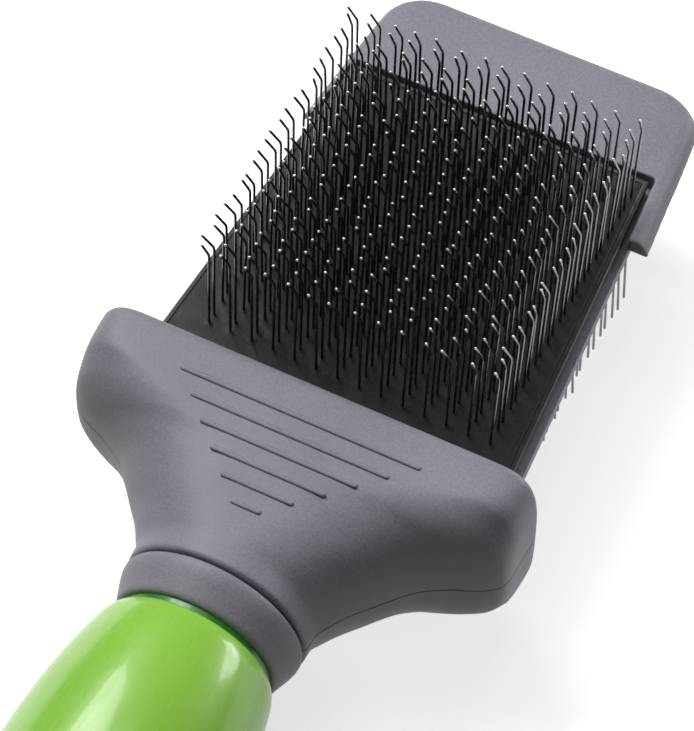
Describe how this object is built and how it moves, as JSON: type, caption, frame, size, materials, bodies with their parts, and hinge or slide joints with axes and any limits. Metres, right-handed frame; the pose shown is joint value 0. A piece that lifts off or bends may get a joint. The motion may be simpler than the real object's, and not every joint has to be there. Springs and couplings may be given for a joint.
{
  "type": "slicker brush",
  "caption": "Two-sided slicker pet brush: a rocking head with bent pins on one face and straight pins on the other, in a T-shaped shoulder on a round glossy handle.",
  "frame": {"origin": "at the centre of the hang hole, half-way through the tab, on the handle axis", "axes": "+X across the head, +Y along the handle axis towards the end cap, +Z out of the bent-pin pad"},
  "size_m": [0.0696, 0.2363, 0.0486],
  "materials": {
    "grip": "gloss",
    "core_green": "satin",
    "butt": "gloss",
    "stem": "matte",
    "steel": "satin",
    "grey": "fine matte texture",
    "frame": "matte",
    "bush": "matte",
    "black": "satin",
    "cloth": "woven",
    "rubber": "matte",
    "wire": "dark, bright at the tips"
  },
  "bodies": {
    "handle": {"handle_grip": "grip", "handle_core": "core_green", "butt_cap": "butt", "stem": "stem", "stem_pin": "steel", "collar": "grey", "shoulder_front": "grey", "shoulder_back": "grey", "shoulder_screws": "steel", "frame": "frame", "bush_near": "bush", "bush_far": "bush", "end_cap": "grey", "cap_screws": "steel"},
    "head": {"core": "black", "trunnion_near": "steel", "trunnion_far": "steel", "tray_front": "black", "tray_back": "black", "cloth_front": "cloth", "cloth_back": "cloth", "pad_front": "rubber", "pad_back": "rubber", "pins_front": "wire", "pins_back": "wire", "tray_screws": "steel"}
  },
  "joints": [
    {"name": "head_rock", "type": "hinge", "parent": "handle", "child": "head", "pos_m": [0, 0.1835, 0], "axis": [0, 1, 0], "range_deg": [-2, 2], "stiffness_Nm_per_rad": 0.5}
  ]
}
